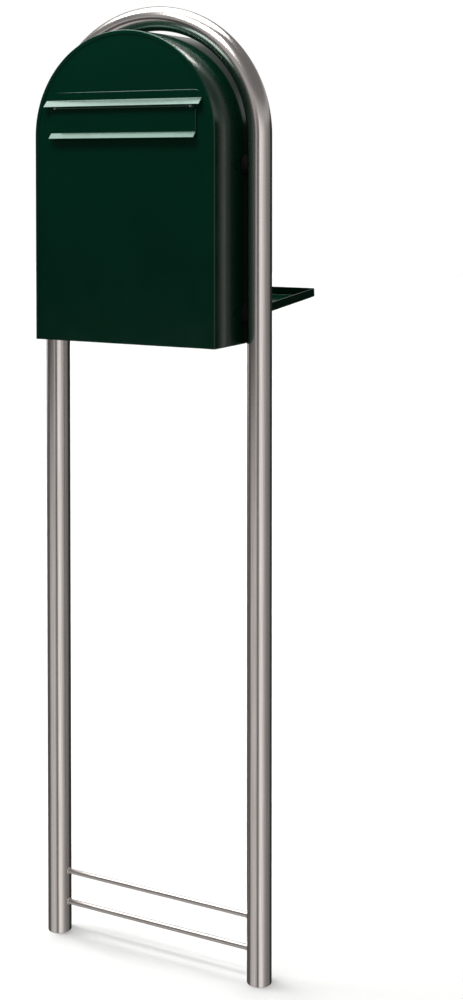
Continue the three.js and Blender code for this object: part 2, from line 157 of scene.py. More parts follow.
# The walls at eye level and lower down: bearings in degrees, where 0 is to the right and -90 in
# front, and the brightness there. Higher up the brightness goes by height alone.
eye_bands = [
    (-180, 0.16),
    (-172, 0.10),
    (-140, 0.03),
    (-104, 0.03),
    (-98, 0.50),
    (-92, 0.58),
    (-86, 0.30),
    (-80, 0.08),
    (-72, 0.08),
    (-62, 1.25),
    (-44, 1.10),
    (-24, 0.72),
    (0, 0.36),
    (44, 0.20),
    (54, 0.015),
    (118, 0.03),
    (146, 0.10),
    (158, 0.80),
    (172, 0.80),
    (180, 0.16),
]
low_bands = [
    (-180, 0.12),
    (-158, 0.12),
    (-146, 0.62),
    (-100, 0.78),
    (-88, 0.50),
    (-80, 0.13),
    (-72, 0.13),
    (-62, 1.15),
    (-40, 1.10),
    (-22, 0.62),
    (0, 0.32),
    (44, 0.20),
    (56, 0.03),
    (118, 0.05),
    (140, 0.10),
    (180, 0.12),
]
upper_bands = [(0, 0.5), (0.2, 0.55), (0.3, 0.52), (0.4, 0.22), (1, 0.2)]
below_eye = share_of(height, -0.12, -0.19)
above_walls = share_of(height, 0.13, 0.20)
walls = crossfade(below_eye, banded(turn_share, eye_bands), banded(turn_share, low_bands))
dim_room = crossfade(above_walls, walls, banded(height, upper_bands))
canopy = round_light(dim_room, (-0.36, 0.16, 0.92), (1.3, 1.3, 1.28), 0.80, 0.87)
lamp = round_light(canopy, (-0.532, -0.04, 0.843), (8.8, 8.9, 8.7), 0.958, 0.978)

room = air.nodes.new("ShaderNodeBackground")
seen = air.nodes.new("ShaderNodeBackground")
seen.inputs["Color"].default_value = (1, 1, 1, 1)
ray = air.nodes.new("ShaderNodeLightPath")
choice = air.nodes.new("ShaderNodeMixShader")
out = air.nodes.new("ShaderNodeOutputWorld")
air.links.new(lamp, room.inputs["Color"])
air.links.new(ray.outputs["Is Camera Ray"], choice.inputs["Fac"])
air.links.new(room.outputs[0], choice.inputs[1])
air.links.new(seen.outputs[0], choice.inputs[2])
air.links.new(choice.outputs[0], out.inputs["Surface"])

# A small soft box high in front gives the front panel its green and the black shade under each lip.
key_aim = Vector((0, 0, 1.25))
key_light = bpy.data.lights.new("key", "AREA")
key_light.shape = "RECTANGLE"
key_light.size = 0.5
key_light.size_y = 0.25
key_light.energy = 6.5
key_light.specular_factor = 0
key = bpy.data.objects.new("key", key_light)
key.location = (0.0, -0.55, 1.95)
key.rotation_euler = (key_aim - key.location).to_track_quat("-Z", "Y").to_euler()
key.visible_camera = False
bpy.context.scene.collection.objects.link(key)

# A broad overhead light keeps the paper white round the feet. It adds no highlight of its own.
top_light = bpy.data.lights.new("overhead", "SUN")
top_light.energy = 1.6
top_light.angle = math.radians(50)
top_light.specular_factor = 0
top = bpy.data.objects.new("overhead", top_light)
top.rotation_euler = (math.radians(-14), math.radians(-8), 0)
bpy.context.scene.collection.objects.link(top)

# Making: how every piece is selected, cut, rounded and fixed to its body.
sheet = 1.2 * mm  # thickness of the painted steel
past = 1 * mm  # how far a cutter reaches past what it cuts
play = 0.3 * mm  # gap between pieces that touch or turn in each other
close = 0.01 * mm  # points nearer than this lie on the same level
sides = (("left", -1), ("right", 1))


def select(piece, kind, test):
    """In edit mode, selects only the verts, edges or faces that pass the test."""
    bpy.ops.mesh.select_mode(type={"verts": "VERT", "edges": "EDGE", "faces": "FACE"}[kind])
    bpy.ops.mesh.select_all(action="DESELECT")
    mesh = bmesh.from_edit_mesh(piece.data)
    mesh.normal_update()
    for item in getattr(mesh, kind):
        if test(item):
            item.select_set(True)
    mesh.select_flush_mode()
    bmesh.update_edit_mesh(piece.data)


def looks(*ways):
    """A test for faces: true for one that looks in any of the ways."""
    return lambda face: any(face.normal.dot(way) > 0.9 for way in ways)


def on_level(axis, level):
    """A test for edges: true for one whose ends both lie on that level of the axis."""
    return lambda edge: all(abs(getattr(v.co, axis) - level) < close for v in edge.verts)


def runs_along(axis):
    """A test for edges: true for one that runs along the axis."""
    least = 0.5 * mm
    return lambda edge: abs(getattr(edge.verts[0].co - edge.verts[1].co, axis)) > least


def joins_two(edge):
    """True for an edge between two faces, and so not on a rim."""
    return len(edge.link_faces) == 2


def start(name):
    """Names the new primitive, sets its place into its mesh and opens it for editing."""
    piece = bpy.context.active_object
    piece.name = name
    bpy.ops.object.transform_apply(location=True, rotation=True, scale=True)
    bpy.ops.object.mode_set(mode="EDIT")
    return piece


def block(name, low, high):
    """A square block between two corners, open for editing."""
    bpy.ops.mesh.primitive_cube_add(size=1, location=(Vector(low) + Vector(high)) / 2)
    bpy.context.active_object.scale = Vector(high) - Vector(low)
    return start(name)


def turned(name, rings, centre, axis, vertices=48):
    """A turned part: a circle carried along its axis through rings of (distance, radius)."""
    hollow = rings[0] == rings[-1]
    distance, radius = rings[0]
    bpy.ops.mesh.primitive_circle_add(
        vertices=vertices,
        radius=radius,
        location=(0, 0, distance),
        fill_type="NOTHING" if hollow else "NGON",
    )
    piece = start(name)
    bpy.ops.mesh.select_all(action="SELECT")
    for next_distance, next_radius in rings[1:]:
        rise = (0, 0, next_distance - distance)
        scale = next_radius / radius
        centre_of_ring = (0, 0, next_distance)
        bpy.ops.mesh.extrude_region_move(TRANSFORM_OT_translate={"value": rise})
        bpy.ops.transform.resize(value=(scale, scale, 1), center_override=centre_of_ring)
        distance, radius = next_distance, next_radius
    bpy.ops.mesh.select_all(action="SELECT")
    bpy.ops.mesh.remove_doubles(threshold=0.001 * mm)
    bpy.ops.mesh.normals_make_consistent(inside=False)
    bpy.ops.object.mode_set(mode="OBJECT")
    turn = UP.rotation_difference(Vector(axis)).to_matrix().to_4x4()
    piece.data.transform(Matrix.Translation(centre) @ turn)
    return piece


def rod_rings(start_at, end_at, radius):
    """The rings of a plain rod."""
    return [(start_at, radius), (end_at, radius)]


def pipe_rings(start_at, end_at, inner, outer):
    """The rings of a plain hollow cylinder, closed with the first ring again."""
    near_rings = [(start_at, inner), (start_at, outer)]
    far_rings = [(end_at, outer), (end_at, inner)]
    return [*near_rings, *far_rings, (start_at, inner)]


def machine(piece, kind, **settings):
    """Runs one modifier on a piece and applies it."""
    bpy.context.view_layer.objects.active = piece
    step = piece.modifiers.new(kind.title(), kind)
    for setting, value in settings.items():
        setattr(step, setting, value)
    bpy.ops.object.modifier_apply(modifier=step.name)


def combine(piece, other, operation):
    """Works the other's shape into a piece and throws the other away."""
    machine(piece, "BOOLEAN", object=other, operation=operation, solver="EXACT")
    bpy.data.objects.remove(other)


def cut(piece, cutter):
    """Cuts the cutter's shape out of a piece and throws the cutter away."""
    combine(piece, cutter, "DIFFERENCE")


def to_sheet(piece):
    """Gives a surface the thickness of the sheet, on its inner side."""
    machine(piece, "SOLIDIFY", thickness=sheet, offset=-1, use_even_offset=True)


def round_selected(radius, segments):
    """Rounds the selected edges and leaves edit mode."""
    bpy.ops.mesh.bevel(offset=radius, segments=segments, affect="EDGES")
    bpy.ops.object.mode_set(mode="OBJECT")


def break_edges(piece, width, steps=2, angle=35):
    """Takes the sharpness off every edge that turns by more than the angle."""
    turn = {"limit_method": "ANGLE", "angle_limit": math.radians(angle)}
    machine(piece, "BEVEL", width=width, segments=steps, **turn)


def fit(piece, finish, slot, body, *nodes):
    """Turns the faces outwards, smooths the rounds while the flats keep their own normals, and
    fixes the piece to its body in place of the nodes."""
    bpy.ops.object.select_all(action="DESELECT")
    piece.select_set(True)
    bpy.context.view_layer.objects.active = piece
    bpy.ops.object.mode_set(mode="EDIT")
    bpy.ops.mesh.select_all(action="SELECT")
    bpy.ops.mesh.remove_doubles(threshold=0.002 * mm)
    bpy.ops.mesh.normals_make_consistent(inside=False)
    bpy.ops.object.mode_set(mode="OBJECT")
    bpy.ops.object.shade_smooth_by_angle(angle=math.radians(32))
    machine(piece, "WEIGHTED_NORMAL", mode="FACE_AREA", weight=100, keep_sharp=True)
    piece.data.materials.clear()
    piece.data.materials.append(finish)
    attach(piece, body)
    if nodes:
        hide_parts(*nodes)


def on_side(node):
    """Nearest and furthest distance of a node from the middle plane, its centre and its radius."""
    low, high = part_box(node)
    centre = (low + high) / 2
    near, far = sorted((abs(low.x), abs(high.x)))
    return near, far, Vector((0, centre.y, centre.z)), (high.z - low.z) / 2


def new_finish(name, metallic, color=None):
    """A new finish with its nodes, links and shader, for the roughness and the rest to be added."""
    finish = bpy.data.materials.new(name)
    finish.use_nodes = True
    shader = finish.node_tree.nodes["Principled BSDF"]
    shader.inputs["Metallic"].default_value = metallic
    if color:
        shader.inputs["Base Color"].default_value = (*color, 1)
    return finish, finish.node_tree.nodes, finish.node_tree.links, shader


def noise_band(nodes, links, source, scale, stretch, low, high, detail=3):
    """A noise that is drawn out by stretch and runs from low to high."""
    place = nodes.new("ShaderNodeMapping")
    place.inputs["Scale"].default_value = stretch
    noise = nodes.new("ShaderNodeTexNoise")
    noise.inputs["Scale"].default_value = scale
    noise.inputs["Detail"].default_value = detail
    spread = nodes.new("ShaderNodeMapRange")
    spread.inputs["From Min"].default_value = 0.3
    spread.inputs["From Max"].default_value = 0.7
    spread.inputs["To Min"].default_value = low
    spread.inputs["To Max"].default_value = high
    links.new(source, place.inputs["Vector"])
    links.new(place.outputs["Vector"], noise.inputs["Vector"])
    links.new(noise.outputs["Fac"], spread.inputs["Value"])
    return spread.outputs["Result"]


def add_bump(nodes, links, shader, heights, distance, strength):
    """Raises the surface by a height signal, in metres at full height."""
    bump = nodes.new("ShaderNodeBump")
    bump.inputs["Distance"].default_value = distance
    bump.inputs["Strength"].default_value = strength
    links.new(heights, bump.inputs["Height"])
    links.new(bump.outputs["Normal"], shader.inputs["Normal"])


def blend_colors(nodes, links, shader, share, first, second):
    """Base colour that runs between two colours by the share."""
    mix = nodes.new("ShaderNodeMix")
    mix.data_type = "RGBA"
    mix.inputs["A"].default_value = (*first, 1)
    mix.inputs["B"].default_value = (*second, 1)
    links.new(share, mix.inputs["Factor"])
    links.new(mix.outputs["Result"], shader.inputs["Base Color"])


# Brushed stainless tube: fine lines run along the tube, so the grain follows a map that is unrolled
# from the tube, with the way round it across and the length along it upwards.
steel, nodes, links, shader = new_finish("brushed_tube", 1.0)
unrolled = nodes.new("ShaderNodeUVMap")
unrolled.uv_map = "unrolled"
grain = noise_band(nodes, links, unrolled.outputs["UV"], 1.0, (900, 8, 1), 0.0, 1.0, 2)
rough = noise_band(nodes, links, unrolled.outputs["UV"], 1.0, (400, 5, 1), 0.17, 0.24, 2)
links.new(rough, shader.inputs["Roughness"])
blend_colors(nodes, links, shader, grain, (0.57, 0.53, 0.51), (0.68, 0.64, 0.62))
add_bump(nodes, links, shader, grain, 0.01 * mm, 0.15)

# Stand: one stainless tube bent into a half circle over two straight legs, cut square at the feet.
# A circle is drawn at the left foot, drawn up the leg, spun over the arch and drawn down again.
stand_low, stand_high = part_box("stand_tube")
tube_radius = (stand_high.y - stand_low.y) / 2
leg_x = stand_high.x - tube_radius
arch_z = stand_high.z - tube_radius - leg_x
tube_wall = 1.5 * mm

bpy.ops.mesh.primitive_circle_add(vertices=72, radius=tube_radius, location=(-leg_x, 0, 0))
hoop = start("bent_tube")
bpy.ops.mesh.select_all(action="SELECT")
bpy.ops.mesh.extrude_region_move(TRANSFORM_OT_translate={"value": (0, 0, arch_z)})
bpy.ops.mesh.spin(steps=120, angle=math.pi, center=(0, 0, arch_z), axis=(0, -1, 0))
bpy.ops.mesh.extrude_region_move(TRANSFORM_OT_translate={"value": (0, 0, -arch_z)})
bpy.ops.mesh.select_all(action="SELECT")
bpy.ops.mesh.remove_doubles(threshold=0.01 * mm)
bpy.ops.mesh.normals_make_consistent(inside=False)
bpy.ops.object.mode_set(mode="OBJECT")
machine(hoop, "SOLIDIFY", thickness=tube_wall, offset=-1)
break_edges(hoop, 0.3 * mm)


def unroll(piece):
    """Maps each point of the tube to its way round the section and its length along the bend."""
    layer = piece.data.uv_layers.new(name="unrolled")
    for face in piece.data.polygons:
        turns = []
        for corner in face.loop_indices:
            point = piece.data.vertices[piece.data.loops[corner].vertex_index].co
            above = max(point.z - arch_z, 0)
            if above > 0:
                swing = math.atan2(above, -point.x)
                along = arch_z + leg_x * swing
                out = math.hypot(point.x, above) - leg_x
            elif point.x < 0:
                along = point.z
                out = -point.x - leg_x
            else:
                along = arch_z + leg_x * math.pi + (arch_z - point.z)
                out = point.x - leg_x
            turns.append((math.atan2(point.y, out), along))
        wraps = max(t for t, _ in turns) - min(t for t, _ in turns) > math.pi
        for corner, (turn, along) in zip(face.loop_indices, turns):
            if wraps and turn < 0:
                turn += 2 * math.pi
            layer.data[corner].uv = (turn * tube_radius, along)


fit(hoop, steel, "stainless", "stand_and_box", "stand_tube")
unroll(hoop)

# Anchor rods: two thin stainless rods that cross between the legs just above the feet and grip the
# footing. Each end goes into its leg and is held by a small bead of weld.
plain_steel, nodes, links, shader = new_finish("drawn_steel", 1.0, (0.60, 0.56, 0.54))
local = nodes.new("ShaderNodeTexCoord")
grain = noise_band(nodes, links, local.outputs["Object"], 1.0, (20, 1500, 1500), 0.24, 0.38)
links.new(grain, shader.inputs["Roughness"])

bead_width = 1.1 * mm
bead_lift = 0.4 * mm
ripple_height = 0.12
ripple_count = 14
for node in ("anchor_rod_upper", "anchor_rod_lower"):
    low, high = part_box(node)
    rod_radius = (high.y - low.y) / 2
    rod_z = (low.z + high.z) / 2
    level = node[-5:]
    rod = turned("rod_" + level, rod_rings(low.x, high.x, rod_radius), (0, 0, rod_z), RIGHT)
    break_edges(rod, 0.4 * mm)
    fit(rod, plain_steel, "stainless", "stand_and_box", node)
    for side, sign in sides:
        bpy.ops.mesh.primitive_torus_add(
            major_radius=rod_radius + bead_lift,
            minor_radius=bead_width,
            major_segments=48,
            minor_segments=12,
            rotation=(0, math.radians(90), 0),
        )
        bead = start(f"weld_bead_{level}_{side}")
        bpy.ops.object.mode_set(mode="OBJECT")
        for point in bead.data.vertices:
            x, y, z = point.co
            ripple = 1 + ripple_height * math.sin(math.atan2(z, y) * ripple_count)
            away = math.sqrt(tube_radius**2 - y**2)
            point.co = (sign * (leg_x - away + x * ripple * -sign), y, rod_z + z)
        fit(bead, plain_steel, "stainless", "stand_and_box")

# Threaded sleeves: zinc plated sleeves set in the inner side of each leg, which take the bolts.
zinc, nodes, links, shader = new_finish("zinc_plate", 1.0)
local = nodes.new("ShaderNodeTexCoord")
cloud = noise_band(nodes, links, local.outputs["Object"], 260, (1, 1, 1), 0.30, 0.46)
tint = noise_band(nodes, links, local.outputs["Object"], 120, (1, 1, 1), 0.0, 1.0)
links.new(cloud, shader.inputs["Roughness"])
blend_colors(nodes, links, shader, tint, (0.52, 0.53, 0.54), (0.62, 0.62, 0.60))

corners = [(level, side, sign) for level in ("upper", "lower") for side, sign in sides]
bolt_radius = 3 * mm
bore_radius = bolt_radius + 0.4 * mm

for level, side, sign in corners:
    node = f"insert_{level}_{side}"
    near, far, centre, radius = on_side(node)
    rings = pipe_rings(near, far, bore_radius, radius)
    sleeve = turned(f"sleeve_{level}_{side}", rings, centre, (sign, 0, 0))
    break_edges(sleeve, 0.3 * mm)
    fit(sleeve, zinc, "zinc", "stand_and_box", node)

# Spacers: black moulded saddles between the side of the box and the leg, flat on the box side and
# hollowed to the round of the tube on the other.
black, nodes, links, shader = new_finish("black_moulding", 0.0, (0.006, 0.006, 0.0065))
local = nodes.new("ShaderNodeTexCoord")
grain = noise_band(nodes, links, local.outputs["Object"], 900, (1, 1, 1), 0.0, 1.0)
rough = noise_band(nodes, links, local.outputs["Object"], 200, (1, 1, 1), 0.6, 0.75)
shader.inputs["Specular IOR Level"].default_value = 0.08
links.new(rough, shader.inputs["Roughness"])
add_bump(nodes, links, shader, grain, 0.03 * mm, 0.6)

for level, side, sign in corners:
    node = f"spacer_{level}_{side}"
    near, far, centre, radius = on_side(node)
    rings = pipe_rings(near, far, bore_radius, radius)
    saddle = turned(f"saddle_{level}_{side}", rings, centre, (sign, 0, 0), 72)
    leg_rings = rod_rings(-2 * radius, 2 * radius, tube_radius + play)
    cut(saddle, turned("leg_cutter", leg_rings, (sign * leg_x, 0, centre.z), UP, 96))
    break_edges(saddle, 0.5 * mm, 2, 40)
    fit(saddle, black, "black_plastic", "stand_and_box", node)

# Bolts and washers: four zinc plated socket bolts go from inside the box through a wide washer, the
# side wall and the spacer into the sleeve in the leg.
head_height = 4 * mm
head_bevel = 0.8 * mm
head_round = 0.6 * mm
socket_radius = 2.2 * mm
socket_depth = 2.4 * mm
for level, side, sign in corners:
    node = f"washer_{level}_{side}"
    near, far, centre, radius = on_side(node)
    rings = pipe_rings(near, far, bore_radius, radius)
    washer = turned(f"wide_washer_{level}_{side}", rings, centre, (sign, 0, 0))
    break_edges(washer, 0.25 * mm)
    fit(washer, zinc, "zinc", "stand_and_box", node)

    node = f"bolt_{level}_{side}"
    near, far, centre, radius = on_side(node)
    rings = [
        (near, radius - head_bevel),
        (near + head_round, radius),
        (near + head_height, radius),
        (near + head_height, bolt_radius),
        (far - head_bevel, bolt_radius),
        (far, bolt_radius - head_bevel),
    ]
    bolt = turned(f"socket_bolt_{level}_{side}", rings, centre, (sign, 0, 0))
    key_rings = rod_rings(near - past, near + socket_depth, socket_radius)
    cut(bolt, turned("key_cutter", key_rings, centre, (sign, 0, 0), 6))
    break_edges(bolt, 0.15 * mm, 1)
    fit(bolt, zinc, "zinc", "stand_and_box", node)

# Green paint: a deep bottle green gloss powder coat over steel sheet, with the slight orange peel
# that such a coat has and a faint drift in its tone.
green, nodes, links, shader = new_finish("green_gloss", 0.0)
local = nodes.new("ShaderNodeTexCoord")
drift = noise_band(nodes, links, local.outputs["Object"], 5, (1, 1, 1), 0.0, 1.0)
peel = noise_band(nodes, links, local.outputs["Object"], 420, (1, 1, 1), 0.0, 1.0, 2)
rough = noise_band(nodes, links, local.outputs["Object"], 30, (1, 1, 1), 0.12, 0.16)
links.new(rough, shader.inputs["Roughness"])
blend_colors(nodes, links, shader, drift, (0.0001, 0.0175, 0.009), (0.0003, 0.021, 0.011))
shader.inputs["Specular Tint"].default_value = (0.63, 1.0, 0.87, 1)
add_bump(nodes, links, shader, peel, 0.01 * mm, 0.2)

# Body shell: one folded sheet over both sides and the arch, with its front and rear edges turned in
# as rims. It starts as a solid of the box's outline, and the faces inside the rims are taken out.
shell_low, shell_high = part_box("body_shell")
front_rim = 6 * mm
rear_rim = 12 * mm
fold_radius = 1.6 * mm


def arched_block(name, node):
    """A solid as wide, high and deep as a panel's own node, with a half circle over straight
    sides, open for editing."""
    low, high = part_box(node)
    bpy.ops.mesh.primitive_cylinder_add(
        vertices=192,
        radius=high.x,
        depth=high.y - low.y,
        location=(0, (low.y + high.y) / 2, arch_z),
        rotation=(math.radians(90), 0, 0),
    )
    piece = start(name)
    bpy.ops.mesh.select_all(action="SELECT")
    bpy.ops.mesh.bisect(plane_co=(0, 0, arch_z), plane_no=UP, clear_inner=True, use_fill=True)
    select(piece, "faces", looks(DOWN))
    bpy.ops.mesh.extrude_region_move(TRANSFORM_OT_translate={"value": (0, 0, low.z - arch_z)})
    for way in (FRONT, BACK):
        select(piece, "faces", looks(way))
        bpy.ops.mesh.dissolve_faces()
    return piece


def on_outline(y):
    """A test for edges: true for one at depth y where the front or the back meets the sides."""
    at_depth = on_level("y", y)
    least = math.radians(45)
    return lambda edge: at_depth(edge) and joins_two(edge) and edge.calc_face_angle() > least


shell = arched_block("folded_shell", "body_shell")
select(shell, "faces", looks(DOWN))
bpy.ops.mesh.delete(type="FACE")
for way, rim in ((FRONT, front_rim), (BACK, rear_rim)):
    select(shell, "faces", looks(way))
    bpy.ops.mesh.inset(thickness=rim, use_boundary=False)
    bpy.ops.mesh.delete(type="FACE")
front_outline, rear_outline = on_outline(shell_low.y), on_outline(shell_high.y)
select(shell, "edges", lambda e: front_outline(e) or rear_outline(e))
round_selected(fold_radius, 4)
to_sheet(shell)
break_edges(shell, 0.4 * mm, 2, 60)
fit(shell, green, "green_paint", "stand_and_box", "body_shell")

# Front panel: a flat arched sheet set just behind the front rim, with the slot for the mail cut
# through it behind the flap.
panel_low, panel_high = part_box("front_panel")
slot_half = 118 * mm
slot_low = shell_low.z + 313 * mm
slot_high = slot_low + 30 * mm
slot_corner = 4 * mm
panel = arched_block("arched_front", "front_panel")
bpy.ops.object.mode_set(mode="OBJECT")
slot_cutter = block(
    "slot_cutter",
    (-slot_half, panel_low.y - past, slot_low),
    (slot_half, panel_high.y + past, slot_high),
)
select(slot_cutter, "edges", runs_along("y"))
round_selected(slot_corner, 5)
cut(panel, slot_cutter)
break_edges(panel, 0.2 * mm, 2, 50)
fit(panel, green, "green_paint", "stand_and_box", "front_panel")

# Rear panel: the fixed upper part of the back with a strip down each side of the doorway. The sheet
# over the doorway is folded inwards, which stiffens it and gives the lock cam an edge to catch.
rear_low, rear_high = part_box("rear_panel")
door_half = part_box("rear_door")[1].x
door_gap = 1.5 * mm
doorway_half = door_half + door_gap
doorway_low = shell_low.z + 3 * mm
doorway_high = shell_low.z + 271.5 * mm
way_depth = 3 * mm
back = arched_block("arched_back", "front_panel")
bpy.ops.object.mode_set(mode="OBJECT")
back.data.transform(Matrix.Translation((0, rear_high.y - panel_high.y, 0)))
way_cutter = block(
    "way_cutter",
    (-doorway_half, rear_high.y - way_depth, doorway_low),
    (doorway_half, rear_high.y + way_depth, doorway_high),
)
bpy.ops.object.mode_set(mode="OBJECT")
cut(back, way_cutter)
header = block(
    "folded_header",
    (-doorway_half, rear_low.y, doorway_high),
    (doorway_half, rear_high.y, doorway_high + sheet),
)
fold_y = rear_high.y - 0.1 * mm
fold_z = doorway_high + 0.1 * mm
select(header, "edges", lambda e: all(v.co.y > fold_y and v.co.z < fold_z for v in e.verts))
round_selected(0.9 * mm, 4)
combine(back, header, "UNION")
fit(back, green, "green_paint", "stand_and_box", "rear_panel")

# Bottom plate: a tray whose front and sides are turned up inside the shell.
tray_low, tray_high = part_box("bottom_plate")
tray = block("folded_tray", tray_low, tray_high)
select(tray, "faces", looks(UP, BACK))
bpy.ops.mesh.delete(type="FACE")
select(tray, "edges", joins_two)
round_selected(1.5 * mm, 4)
to_sheet(tray)
fit(tray, green, "green_paint", "stand_and_box", "bottom_plate")

# Rain hood: a strip with rounded upper corners whose lower edge is bent out over the flap, so that
# rain runs off in front of the slot.
hood_low, hood_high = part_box("rain_hood")
hood_face = hood_high.y - sheet
hood_bend = shell_low.z + 360 * mm
hood_corner = 11.8 * mm
bend_radius = 1.0 * mm


def upright_strip(name, half, low_z, high_z, y):
    """A thin upright strip across the box at depth y, open for editing."""
    middle = (0, y, (low_z + high_z) / 2)
    upright = (math.radians(90), 0, 0)
    bpy.ops.mesh.primitive_plane_add(size=1, location=middle, rotation=upright)
    bpy.context.active_object.scale = (2 * half, high_z - low_z, 1)
    return start(name)


def thicken(piece, outwards):
    """Gives a strip its sheet thickness, behind the side that faces outwards."""
    bpy.ops.object.mode_set(mode="EDIT")
    bpy.ops.mesh.select_all(action="SELECT")
    bpy.ops.mesh.normals_make_consistent(inside=False)
    mesh = bmesh.from_edit_mesh(piece.data)
    facing = sum(f.normal.dot(Vector(outwards)) * f.calc_area() for f in mesh.faces)
    if facing < 0:
        bpy.ops.mesh.flip_normals()
    bpy.ops.object.mode_set(mode="OBJECT")
    to_sheet(piece)


def bend_lip(strip, bend, out, down):
    """Draws a lip out of a strip's lower edge at the height of the bend, rounds the bend and gives
    the whole its thickness."""
    select(strip, "edges", on_level("z", bend))
    bpy.ops.mesh.extrude_region_move(TRANSFORM_OT_translate={"value": (0, out, down)})
    select(strip, "edges", on_level("z", bend))
    round_selected(bend_radius, 4)
    thicken(strip, (0, -1, 0.5))


hood = upright_strip("bent_hood", hood_high.x, hood_bend, hood_high.z, hood_face)
select(hood, "verts", lambda v: v.co.z > hood_high.z - 0.1 * mm)
bpy.ops.mesh.bevel(offset=hood_corner, segments=8, affect="VERTICES")
bend_lip(hood, hood_bend, hood_low.y - hood_face, hood_low.z + sheet - hood_bend)
break_edges(hood, 0.55 * mm, 1, 60)
fit(hood, green, "green_paint", "stand_and_box", "rain_hood")

# Mail flap: a hanging sheet whose lower edge is bent out as a finger lip and whose upper edge is
# rolled round the hinge pin between the two brackets. The lip falls steeply and ends a little
# short of the hood's edge, so that the hood doesn't shade it.
flap_low, flap_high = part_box("mail_flap")
flap_axis = Vector(joints["flap_hinge"]["pos_m"])
pin_low, pin_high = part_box("flap_pin")
pin_radius = (pin_high.z - pin_low.z) / 2
pin_bore = pin_radius + 0.4 * mm
flap_face = flap_axis.y + 0.2 * mm
lip_set_back = 0.9 * mm
lip_steepness = 1.19
lip_out = flap_low.y + lip_set_back - flap_face
lip_down = lip_steepness * lip_out
lip_bend = flap_low.z + sheet - lip_down
shoulder = flap_axis.z - 4.5 * mm
tongue_height = 2.2 * mm
roll_half = 114.5 * mm
roll_outer = flap_high.z - flap_axis.z
flap = upright_strip("hanging_flap", flap_high.x, lip_bend, shoulder, flap_face)
bpy.ops.mesh.select_all(action="SELECT")
for way in (-1, 1):
    bpy.ops.mesh.bisect(plane_co=(way * roll_half, 0, 0), plane_no=RIGHT)
    bpy.ops.mesh.select_all(action="SELECT")
on_shoulder = on_level("z", shoulder)
roll_end = roll_half + close
select(flap, "edges", lambda e: on_shoulder(e) and all(abs(v.co.x) < roll_end for v in e.verts))
bpy.ops.mesh.extrude_region_move(TRANSFORM_OT_translate={"value": (0, 0, tongue_height)})
bend_lip(flap, lip_bend, lip_out, lip_down)
roll_rings = pipe_rings(-roll_half, roll_half, pin_bore, roll_outer)
roll = turned("flap_roll", roll_rings, flap_axis, RIGHT)
break_edges(flap, 0.55 * mm, 1, 60)
combine(flap, roll, "UNION")
fit(flap, green, "green_paint", "flap", "mail_flap")

# Flap hinge: a plain zinc pin held by two small brackets behind the hood, and two rubber dots that
# the flap rests on.
pin = turned("hinge_pin", rod_rings(pin_low.x, pin_high.x, pin_radius), flap_axis, RIGHT, 32)
break_edges(pin, 0.3 * mm)
fit(pin, zinc, "zinc", "stand_and_box", "flap_pin")
across = runs_along("x")
for side, _ in sides:
    low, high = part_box(f"flap_bracket_{side}")
    ear_radius = (high.z - low.z) / 2
    ear = block(f"flap_ear_{side}", low, high)
    ear_end = low.y + 0.1 * mm
    select(ear, "edges", lambda e: across(e) and all(v.co.y < ear_end for v in e.verts))
    round_selected(ear_radius * 0.98, 8)
    drill_rings = rod_rings(low.x - past, high.x + past, pin_bore)
    cut(ear, turned("pin_cutter", drill_rings, flap_axis, RIGHT, 32))
    fit(ear, zinc, "zinc", "stand_and_box", f"flap_bracket_{side}")

rubber, nodes, links, shader = new_finish("black_rubber", 0.0, (0.02, 0.02, 0.021))
local = nodes.new("ShaderNodeTexCoord")
rough = noise_band(nodes, links, local.outputs["Object"], 400, (1, 1, 1), 0.7, 0.9)
links.new(rough, shader.inputs["Roughness"])
dot_edge = 0.8 * mm
dot_taper = 0.6
for side, _ in sides:
    low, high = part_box(f"flap_buffer_{side}")
    dot_radius = (high.x - low.x) / 2
    centre = ((low.x + high.x) / 2, 0, (low.z + high.z) / 2)
    rings = [
        (-high.y, dot_radius),
        (-high.y + dot_edge, dot_radius),
        (-low.y, dot_radius * dot_taper),
    ]
    dot = turned(f"rubber_dot_{side}", rings, centre, FRONT, 32)
    fit(dot, rubber, "rubber", "stand_and_box", f"flap_buffer_{side}")

# Rear door: a shallow folded pan that hangs on two pivots near its lower edge and drops open until
# its lower edge meets the stops. It is made shut, about its pivot line, and then swung open.
door_pivot = Vector(joints["door_hinge"]["pos_m"])
open_angle = math.radians(joints["door_hinge"]["range_deg"][1])
swing_open = Matrix.Translation(door_pivot) @ Matrix.Rotation(-open_angle, 4, "X")
pivot_height = 38 * mm
pivot_bore = 2.7 * mm
door_low = 4.5 * mm - pivot_height
door_high = 270 * mm - pivot_height
door_face = 9 * mm
door_inner = door_face - 14 * mm
lock_z = door_high - 18 * mm
lock_centre = (0, 0, lock_z)
lock_radius = 9.5 * mm
pan = block("folded_door", (-door_half, door_inner, door_low), (door_half, door_face, door_high))
select(pan, "faces", looks(FRONT))
bpy.ops.mesh.delete(type="FACE")
select(pan, "edges", joins_two)
round_selected(fold_radius, 4)
to_sheet(pan)
lock_rings = rod_rings(0, 2 * door_face, lock_radius + play)
cut(pan, turned("lock_cutter", lock_rings, lock_centre, BACK))
pivot_rings = rod_rings(-2 * door_half, 2 * door_half, pivot_bore)
cut(pan, turned("pivot_cutter", pivot_rings, (0, 0, 0), RIGHT))
pan.data.transform(swing_open)
fit(pan, green, "green_paint", "door", "rear_door")

# Lock: a bright flanged barrel through the door, held by a nut, with a plug that turns the cam.
chrome, nodes, links, shader = new_finish("polished_chrome", 1.0, (0.72, 0.73, 0.74))
local = nodes.new("ShaderNodeTexCoord")
rough = noise_band(nodes, links, local.outputs["Object"], 500, (1, 1, 1), 0.08, 0.18)
links.new(rough, shader.inputs["Roughness"])

